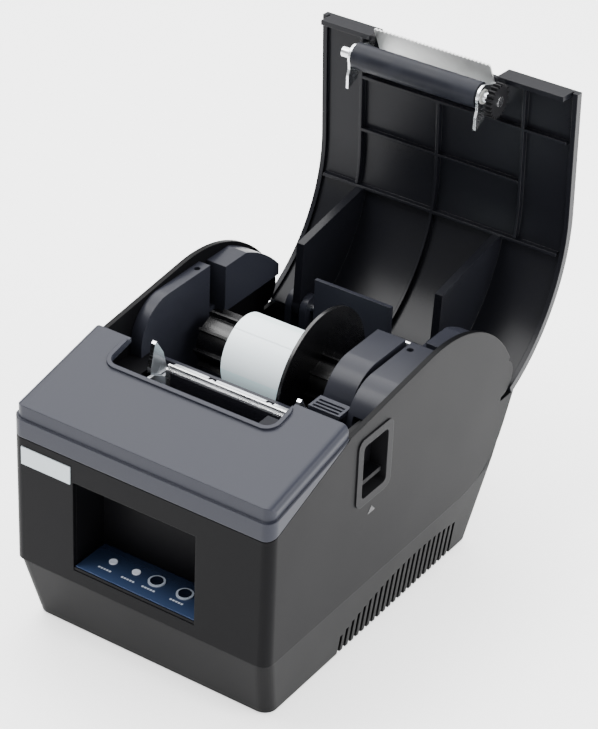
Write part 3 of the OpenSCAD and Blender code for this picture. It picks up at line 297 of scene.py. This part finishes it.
# %% Finish: board, film and lens
def board(name):
    tree = Tree(name)
    cells = tree.node("ShaderNodeTexVoronoi", {"distance": "MANHATTAN", "feature": "F1"},
                      {"Vector": tree.place, "Scale": 260.0})[0]
    track = tree.ramp(cells, 0.32, 0.36) * (1 - tree.ramp(cells, 0.44, 0.48))
    tint = tree.noise(60, 2)
    resist = tree.mix(tint, (0.010, 0.075, 0.030), (0.016, 0.110, 0.045))
    tree.set(Base_Color=tree.mix(track * 0.7, resist, (0.05, 0.20, 0.08)),
             Roughness=track * 0.08 + 0.28, Coat_Weight=0.4, Coat_Roughness=0.12)
    tree.bump(track, 0.00004)
    return tree.material


def printed_film(name, colour):
    """Polyester film: a smooth face with a slow orange-peel ripple and a fine speckle below."""
    tree = Tree(name)
    ripple = tree.noise(900, 2)
    depth = tree.noise(40, 2)
    y = tree.axes()[1]
    low, high = node_box("panel_overlay")
    along = tree.ramp(y, float(low[1]), float(high[1]))
    body = tree.mix(along, tuple(c * 1.5 for c in colour), tuple(c * 0.45 for c in colour))
    body = tree.mix(depth * 0.3, body, tuple(c * 1.8 for c in colour))
    tree.set(Base_Color=body, Roughness=ripple * 0.1 + 0.16, Coat_Weight=0.5, Coat_Roughness=0.1)
    tree.bump(ripple, 0.000006)
    return tree.material


def lens(name):
    """Moulded clear lens over a pale reflector, with a faint painted glow that stands in for the
    even light of the room.
    """
    tree = Tree(name)
    cloud = tree.noise(700, 2)
    # The emission is a painted glow standing in for the room's light; the lens is no lamp.
    tree.set(Base_Color=tree.mix(cloud, (0.62, 0.68, 0.80), (0.86, 0.89, 0.95)),
             Roughness=cloud * 0.08 + 0.12, Coat_Weight=0.6, Coat_Roughness=0.05,
             Emission_Color=(0.75, 0.82, 1.0), Emission_Strength=0.12)
    tree.bump(cloud, 0.00001)
    return tree.material


def painted(name, colour, roughness, size=400):
    """A thin even print or paint with faint unevenness in tone, gloss and height."""
    tree = Tree(name)
    cloud = tree.noise(size, 3)
    dark = tuple(c * 0.9 for c in colour)
    light = tuple(min(1, c * 1.06) for c in colour)
    tree.set(Base_Color=tree.mix(cloud, dark, light),
             Roughness=cloud * 0.12 + (roughness - 0.06))
    tree.bump(cloud, 0.000008)
    return tree.material


green_board = board("green_board")
panel_film = printed_film("panel_film", (0.020, 0.034, 0.075))
light_lens = lens("light_lens")
ring_print = painted("ring_print", (0.46, 0.52, 0.62), 0.3)
badge_face = painted("badge_face", (0.46, 0.52, 0.55), 0.3, 90)
mark_print = painted("mark_print", (0.60, 0.66, 0.76), 0.4)
case_mark = painted("case_mark", (0.040, 0.040, 0.042), 0.35)
head_glaze = painted("head_glaze", (0.012, 0.012, 0.016), 0.2, 250)
flat_cable = painted("flat_cable", (0.66, 0.62, 0.54), 0.35, 120)
black_part = painted("black_part", (0.010, 0.010, 0.010), 0.3, 300)
print("electrical finishes made")

# %% [markdown]
# ## Paper and card
# Thermal paper has a coated outer face with a cold, slightly blue tone. Round the roll the colour
# is painted darker and bluer underneath as painted shade and lighter on top as a painted sheen,
# and a faint painted glow brightens it. Seen from the side of the roll, the windings show as fine
# rings, which depend only on the distance from the roll's own axis. The core is grey-brown card
# wound as a spiral.

# %% Finish: paper
roll_low, roll_high = node_box("paper_roll")
roll_centre = (roll_low + roll_high) / 2
roll_radius = float(roll_high[2] - roll_low[2]) / 2


def around_roll(tree):
    """Distance from the roll's axis, the angle round it from 0 to 1, and the place along it."""
    x, y, z = tree.axes()[:3]
    dy = y - float(roll_centre[1])
    dz = z - float(roll_centre[2])
    radius = (dy * dy + dz * dz).math("SQRT")
    angle = dz.math("ARCTAN2", dy) / (2 * math.pi) + 0.5
    return radius, angle, x


def thermal_paper(name):
    tree = Tree(name)
    radius, angle = around_roll(tree)[:2]
    winding = 0.00012
    windings = (radius * (2 * math.pi / winding)).math("SINE") * 0.5 + 0.5
    side = 1 - tree.ramp(radius, roll_radius - 0.0007, roll_radius - 0.0004)
    fibre = tree.noise(1500, 3)
    # Painted shade round the roll: darker and bluer underneath, lighter on top. A narrow darker
    # green band runs along the top.
    painted_shade = tree.ramp(angle, 0.34, 0.72)
    coat_and_painted_shade = tree.mix(painted_shade, (0.60, 0.83, 0.88), (0.86, 0.93, 0.97))
    band_at = 0.715
    band = tree.ramp(angle, band_at - 0.012, band_at - 0.004)
    band = band * (1 - tree.ramp(angle, band_at + 0.004, band_at + 0.012))
    coat_and_painted_shade = tree.mix(band * 0.55, coat_and_painted_shade, (0.52, 0.82, 0.74))
    ends = tree.mix(windings * 0.6, (0.84, 0.87, 0.88), (0.66, 0.70, 0.72))
    # The emission is a painted glow that brightens the paper.
    tree.set(Base_Color=tree.mix(side, coat_and_painted_shade, ends), Roughness=fibre * 0.12 + 0.42,
             Emission_Color=(0.80, 0.95, 1.0), Emission_Strength=0.35)
    tree.bump(fibre * 0.3 + windings * side, 0.00003)
    return tree.material


def wound_card(name):
    tree = Tree(name)
    radius, angle, x = around_roll(tree)
    spiral = ((angle + x * 45.0) * (2 * math.pi)).math("SINE")
    seam = tree.ramp(spiral, 0.96, 1.0)
    fibre = tree.noise(1.0, 4, tree.stretched((600, 2400, 2400)))
    card = tree.mix(fibre, (0.26, 0.19, 0.12), (0.42, 0.32, 0.21))
    tree.set(Base_Color=tree.mix(seam * 0.6, card, (0.16, 0.11, 0.07)),
             Roughness=fibre * 0.15 + 0.7)
    tree.bump(fibre - seam, 0.00005)
    return tree.material


roll_paper = thermal_paper("roll_paper")
core_card = wound_card("core_card")
print("roll radius", round(roll_radius / mm, 1), "mm")

# %% [markdown]
# ## Give every part its finish
# One table names the finish of each CAD part. A part keeps its mesh; only the material in its
# slots changes.

# %% Finish of each part
finishes = {
    case_plastic: ["upper_case"],
    base_plastic: ["bottom_case"],
    lid_plastic: ["lid"],
    cover_plastic: ["front_cover", "gear_cover"],
    bin_plastic: ["paper_bin"],
    guide_plastic: ["fixed_guide", "sliding_guide"],
    bezel_plastic: ["open_bezel"],
    hidden_plastic: ["panel_housing", "inner_deck", "open_button", "power_jack",
                     "drawer_socket", "switch_case"],
    trough_plastic: ["paper_guide"],
    key_plastic: ["pause_button", "feed_button"],
    red_plastic: ["power_rocker"],
    white_acetal: ["reduction_gear", "platen_bushings"],
    black_acetal: ["platen_gear"],
    zinc_sheet: ["head_frame", "connector_plate", "usb_socket"],
    bright_sheet: ["platen_bracket", "latch_hooks"],
    blade_sheet: ["tear_blade"],
    dull_sheet: ["motor", "case_screws", "cover_screws", "bracket_screws"],
    ground_rod: ["latch_shaft", "gear_axle", "guide_rail", "hinge_pin", "platen_shaft",
                 "board_screws"],
    head_aluminium: ["heat_sink"],
    spring_wire: ["head_springs", "latch_spring"],
    pinion_brass: ["motor_pinion"],
    platen_rubber: ["platen_sleeve"],
    foot_rubber: ["rubber_feet"],
    green_board: ["main_board", "panel_board"],
    panel_film: ["panel_overlay"],
    light_lens: ["led_lenses"],
    ring_print: ["button_rings"],
    badge_face: ["badge_plate"],
    head_glaze: ["print_head"],
    flat_cable: ["head_cable"],
    black_part: ["paper_sensor", "lid_switch"],
    roll_paper: ["paper_roll"],
    core_card: ["paper_core"],
}
finished = set()
for material, names in finishes.items():
    for name in names:
        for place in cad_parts[name].material_slots:
            place.material = material
        finished.add(name)
print("finished", len(finished), "of", len(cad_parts), "parts; left:",
      sorted(set(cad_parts) - finished))

# %% [markdown]
# ## Surfaces from grids
# Every new mesh below is a grid of points worked out at once with numpy. Neighbouring points
# make the faces, and either direction of the grid can close on itself, as round a tube.

# %% Grid to mesh
def grid_faces(rows, columns, close_rows=False, close_columns=False):
    """Four-sided faces between neighbouring points of a grid, wrapping where it is closed."""
    row, column = np.meshgrid(np.arange(rows if close_rows else rows - 1),
                              np.arange(columns if close_columns else columns - 1),
                              indexing="ij")
    here, beyond = row * columns, (row + 1) % rows * columns
    next_column = (column + 1) % columns
    quads = np.stack([here + column, here + next_column,
                      beyond + next_column, beyond + column], -1)
    return quads.reshape(-1, 4)


def make_piece(name, points, faces, material, smooth=True):
    mesh = bpy.data.meshes.new(name)
    mesh.from_pydata(points.reshape(-1, 3).tolist(), [], [list(map(int, f)) for f in faces])
    mesh.materials.append(material)
    mesh.polygons.foreach_set("use_smooth", np.full(len(mesh.polygons), smooth))
    mesh.validate()
    piece = bpy.data.objects.new(name, mesh)
    bpy.context.collection.objects.link(piece)
    print(name, len(points.reshape(-1, 3)), "points,", len(mesh.polygons), "faces")
    return piece


# %% [markdown]
# ## Coil springs
# The CAD model holds each spring as a grooved sleeve, which is enough to keep its room. A real
# spring is one wire along a helix. A tube follows the helix: at each step a circle of the
# wire's radius lies in the plane square to the path. The end coils are closed up and ground.

# %% A wire along a helix
def helix_path(start, along, length, radius, turns, steps):
    """Points on a helix: the angle grows evenly, and the advance is slow over the first and
    last turn and even between them, so the end coils touch."""
    t = np.linspace(0, 1, steps)
    ease = np.clip((t * turns - 1) / (turns - 2), 0, 1)
    rise = 0.08 * t + 0.92 * ease
    along = np.array(along, float)
    side = np.cross(along, [0, 0, 1]) if abs(along[2]) < 0.9 else np.cross(along, [0, 1, 0])
    other = np.cross(along, side)
    angle = 2 * np.pi * turns * t
    ring = np.cos(angle)[:, None] * side + np.sin(angle)[:, None] * other
    return np.array(start) + rise[:, None] * length * along + radius * ring


def wire_tube(path, wire_radius, around=10):
    """A tube round a path: each ring is cos(a) times one normal plus sin(a) times the other,
    with the normals found from the direction of travel; caps close both ends."""
    travel = np.gradient(path, axis=0)
    travel /= np.linalg.norm(travel, axis=1, keepdims=True)
    centre = path.mean(axis=0)
    first = np.cross(travel, path - centre)
    first /= np.linalg.norm(first, axis=1, keepdims=True)
    second = np.cross(travel, first)
    a = np.linspace(0, 2 * np.pi, around, endpoint=False)
    across = np.cos(a)[None, :, None] * first[:, None]
    over = np.sin(a)[None, :, None] * second[:, None]
    rings = path[:, None] + wire_radius * (across + over)
    faces = [list(f) for f in grid_faces(len(path), around, close_columns=True)]
    last = (len(path) - 1) * around
    faces += [list(range(around))[::-1], [last + i for i in range(around)]]
    return rings.reshape(-1, 3), faces


steps_per_turn = 22


def spring_mesh(name, coils, material):
    """One piece from several coils, each a start, a direction, a length, a radius, a number of
    turns and the wire's radius."""
    points, faces = [], []
    for start, along, length, radius, turns, wire in coils:
        path = helix_path(start, along, length, radius, turns, int(turns * steps_per_turn))
        ring, quads = wire_tube(path, wire)
        shift = sum(len(p) for p in points)
        faces += [[i + shift for i in f] for f in quads]
        points.append(ring)
    piece = make_piece(name, np.concatenate(points), faces, material)
    return outward(piece)


def outward(piece):
    """Turns every face of a closed piece outwards."""
    shape = bmesh.new()
    shape.from_mesh(piece.data)
    bmesh.ops.recalc_face_normals(shape, faces=shape.faces)
    shape.to_mesh(piece.data)
    shape.free()
    return piece


# %% Springs behind the print head and on the latch shaft
low, high = node_box("head_springs")
radius = float(high[2] - low[2]) / 2
wire = 0.36 * mm
middle_z = float(low[2] + high[2]) / 2
start_y = float(low[1]) + wire
length = float(high[1] - low[1]) - 2 * wire
head_turns = 8
coils = [((x, start_y, middle_z), (0, 1, 0), length, radius - wire, head_turns, wire)
         for x in (float(low[0]) + radius, float(high[0]) - radius)]
head_coils = spring_mesh("head_spring_coils", coils, spring_wire)
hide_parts("head_springs")
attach(head_coils, "head")

low, high = node_box("latch_spring")
radius = float(high[2] - low[2]) / 2
centre = (low + high) / 2
start = (float(low[0]) + wire, centre[1], centre[2])
length = float(high[0] - low[0]) - 2 * wire
latch_turns = 6
coils = [(start, (1, 0, 0), length, radius - wire, latch_turns, wire)]
latch_coil = spring_mesh("latch_spring_coil", coils, spring_wire)
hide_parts("latch_spring")
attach(latch_coil, "case")

# %% [markdown]
# ## The paper roll
# The roll is one long strip, so its outside isn't a perfect cylinder: the loose end makes a
# small step, and the side shows windings that stand a little in and out. The surface is a
# profile (bore, side, outside, side, bore) turned round the axis, whose radius grows by the
# thickness of the paper over one turn.

# %% Wind the roll
def wound_roll(low, high, core_radius, rings=26, steps=192):
    """A profile turned round the X axis. On the outside the radius is the full radius less a
    step that shrinks evenly with the angle; on each side, every other ring is set in a little."""
    step = 0.22 * mm
    a = np.linspace(0, 2 * np.pi, steps, endpoint=False)
    outer = (high[2] - low[2]) / 2 - step * (1 - a / (2 * np.pi))
    t = np.linspace(0, 1, rings)[:, None]
    face_radius = core_radius + (outer[None, :] - core_radius) * t
    inset = 0.12 * mm * (np.arange(rings) % 2)[:, None] * np.ones(steps)[None, :]
    inset[0] = inset[-1] = 0
    soft = 0.15 * mm * np.exp(-(1 - t) * 40)
    left = np.stack([low[0] + inset + soft, face_radius], -1)
    right = np.stack([high[0] - inset - soft, face_radius], -1)[::-1]
    profile = np.concatenate([left, right])
    y0, z0 = (low[1] + high[1]) / 2, (low[2] + high[2]) / 2
    loose_end = math.radians(118)
    turn = a[None, :] + loose_end
    points = np.stack([profile[..., 0], y0 + profile[..., 1] * np.cos(turn),
                       z0 + profile[..., 1] * np.sin(turn)], -1)
    return points, grid_faces(2 * rings, steps, close_rows=True, close_columns=True)


core_low, core_high = node_box("paper_core")
points, faces = wound_roll(roll_low, roll_high, float(core_high[2] - core_low[2]) / 2)
roll = make_piece("wound_paper", points, faces, roll_paper, smooth=False)
outward(roll)
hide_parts("paper_roll")
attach(roll, "roll")

# %% [markdown]
# ## Marks on the panel and the case
# Beside each light and key a real panel carries a few printed words. Here plain dashes stand
# for them: thin printed bars, a hair above the film. The case gets a raised arrow under the
# open button that shows which way to push.

# %% Print the marks
def bars(boxes, thickness, upward=2):
    """Low closed boxes: each is given by its centre and its two sizes, on the plane whose
    normal is the axis numbered upward."""
    corner = np.array([[x, y, z] for z in (0, 1) for y in (-0.5, 0.5) for x in (-0.5, 0.5)])
    flat = [i for i in range(3) if i != upward]
    points, faces = [], []
    for centre, sizes in boxes:
        block = np.empty((8, 3))
        block[:, flat[0]] = centre[flat[0]] + corner[:, 0] * sizes[0]
        block[:, flat[1]] = centre[flat[1]] + corner[:, 1] * sizes[1]
        block[:, upward] = centre[upward] + corner[:, 2] * thickness
        shift = 8 * len(points)
        quads = [(0, 2, 3, 1), (4, 5, 7, 6), (0, 1, 5, 4), (2, 6, 7, 3), (0, 4, 6, 2), (1, 3, 7, 5)]
        faces += [[i + shift for i in f] for f in quads]
        points.append(block)
    return np.concatenate(points), faces


lens_low, lens_high = node_box("led_lenses")
ring_low, ring_high = node_box("button_rings")
lens_r = float(lens_high[1] - lens_low[1]) / 2
ring_r = float(ring_high[1] - ring_low[1]) / 2
middle_y = float(lens_low[1] + lens_high[1]) / 2
dash_y = middle_y - 6.2 * mm
dash_pitch = 1.45 * mm
dash_size = (1.0 * mm, 1.0 * mm)
print_thickness = 0.03 * mm
film_top = float(node_box("panel_overlay")[1][2])
dash_x = [float(lens_low[0]) + lens_r, float(lens_high[0]) - lens_r,
          float(ring_low[0]) + ring_r, float(ring_high[0]) - ring_r]
dashes = [((x + k * dash_pitch, dash_y, film_top), dash_size)
          for x in dash_x for k in (-2, -1, 0, 1, 2)]
points, faces = bars(dashes, print_thickness)
panel_marks = outward(make_piece("panel_marks", points, faces, mark_print, smooth=False))
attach(panel_marks, "case")

# %% Mark the case under the open button
bezel_low, bezel_high = node_box("open_bezel")
case_side = float(node_box("upper_case")[1][0])
mark_y = float(bezel_low[1] + bezel_high[1]) / 2
mark_z = float(bezel_low[2]) - 6.0 * mm
row_pitch, row_height, mark_thickness = 0.55 * mm, 0.42 * mm, 0.12 * mm
rows = [((case_side, mark_y, mark_z + 1.6 * mm - k * row_pitch), ((0.5 + k) * mm, row_height))
        for k in range(6)]
points, faces = bars(rows, mark_thickness, upward=0)
open_mark = outward(make_piece("open_mark", points, faces, case_mark, smooth=False))
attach(open_mark, "case")

# %% [markdown]
# ## The studio
# A dark, satin object shows mostly what it reflects. A large soft box overhead lays a grey
# sheen on the cover, a second one on the right lifts the side wall, and the front is left
# darker so that the two faces read apart. The floor and the room are nearly white.

# %% Floor, room and lights
def soft_box(name, place, target, size, watts):
    light = bpy.data.lights.new(name, "AREA")
    light.shape = "RECTANGLE"
    light.size, light.size_y = size
    light.energy = watts
    lamp = bpy.data.objects.new(name, light)
    bpy.context.collection.objects.link(lamp)
    aim = Vector(target) - Vector(place)
    turned = aim.to_track_quat("-Z", "Y").to_matrix().to_4x4()
    lamp.matrix_world = Matrix.Translation(place) @ turned


floor_tree = Tree("pale_floor")
grain = floor_tree.noise(300, 3)
floor_tree.set(Base_Color=floor_tree.mix(grain, (0.90, 0.90, 0.90), (0.94, 0.94, 0.94)),
               Roughness=grain * 0.1 + 0.55,
               Emission_Color=(1.0, 1.0, 1.0), Emission_Strength=1.3)
reach = 6.0
ground = np.array([[-reach, -reach, 0], [reach, -reach, 0],
                   [reach, reach, 0], [-reach, reach, 0]], float)
floor = make_piece("floor", ground, [(0, 1, 2, 3)], floor_tree.material)

target = (0.0, 0.0, 0.08)
soft_box("overhead", (-0.35, 0.55, 1.25), target, (1.6, 1.4), 45)
soft_box("right_side", (1.5, 0.25, 0.75), target, (1.0, 1.0), 34)
soft_box("front_top", (-0.5, -0.35, 1.2), target, (0.6, 0.6), 14)
world = bpy.data.worlds.new("room")
bpy.context.scene.world = world
world.use_nodes = True
world.node_tree.nodes["Background"].inputs["Color"].default_value = (1, 1, 1, 1)
world.node_tree.nodes["Background"].inputs["Strength"].default_value = 1.0
print("studio ready")
